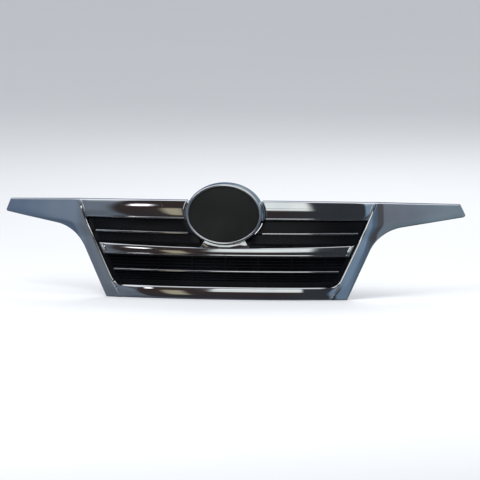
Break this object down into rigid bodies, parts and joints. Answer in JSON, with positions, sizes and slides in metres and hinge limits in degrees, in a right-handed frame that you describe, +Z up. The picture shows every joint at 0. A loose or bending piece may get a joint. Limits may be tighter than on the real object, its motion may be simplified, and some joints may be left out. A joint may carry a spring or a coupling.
{
  "type": "vehicle front grille",
  "caption": "Wide chrome-trimmed truck front grille: swept side wings, slanted legs, split top bar around an oval emblem seat, middle bar, bottom rail and black louvres behind.",
  "frame": {"origin": "centre of the plain emblem plate's front face, where a badge would be fixed", "axes": "+X to the right seen from in front of the grille, +Y back towards the vehicle, +Z up"},
  "size_m": [1.5104, 0.3046, 0.381],
  "materials": {
    "chrome_plating": "mirror bright plating on plastic",
    "black_moulding": "fine-grained satin black",
    "emblem_black": "smooth satin black, plain",
    "foam": "closed-cell foam",
    "bracket_steel": "zinc plated",
    "screw_steel": "zinc plated",
    "pin_nylon": "natural nylon"
  },
  "bodies": {
    "root": {"anti_rattle_pads": "foam", "bottom_foam_seal": "foam", "bottom_rail": "chrome_plating", "bottom_rail_screws": "screw_steel", "bracket_screws": "screw_steel", "carrier_bottom_beam": "black_moulding", "carrier_centre_web": "black_moulding", "carrier_leg_left": "black_moulding", "carrier_leg_right": "black_moulding", "carrier_mid_beam": "black_moulding", "carrier_top_beam": "black_moulding", "corner_bracket_left": "bracket_steel", "corner_bracket_right": "bracket_steel", "emblem_bezel": "chrome_plating", "emblem_collar": "chrome_plating", "emblem_cup": "black_moulding", "emblem_pedestal": "chrome_plating", "emblem_plate": "emblem_black", "emblem_screws": "screw_steel", "emblem_tape": "foam", "lower_louvre": "black_moulding", "lower_louvre_screws": "screw_steel", "lower_pins": "pin_nylon", "lower_strip": "chrome_plating", "mid_bar": "chrome_plating", "mid_bar_screws": "screw_steel", "top_bar_left": "chrome_plating", "top_bar_right": "chrome_plating", "top_bar_screws": "screw_steel", "top_foam_seal": "foam", "upper_louvre_left": "black_moulding", "upper_louvre_right": "black_moulding", "upper_louvre_screws": "screw_steel", "upper_strip_left": "chrome_plating", "upper_strip_right": "chrome_plating", "wing_backing_left": "black_moulding", "wing_backing_right": "black_moulding", "wing_clips": "pin_nylon", "wing_cover_left": "chrome_plating", "wing_cover_right": "chrome_plating", "wing_cover_screws": "screw_steel"}
  },
  "joints": []
}
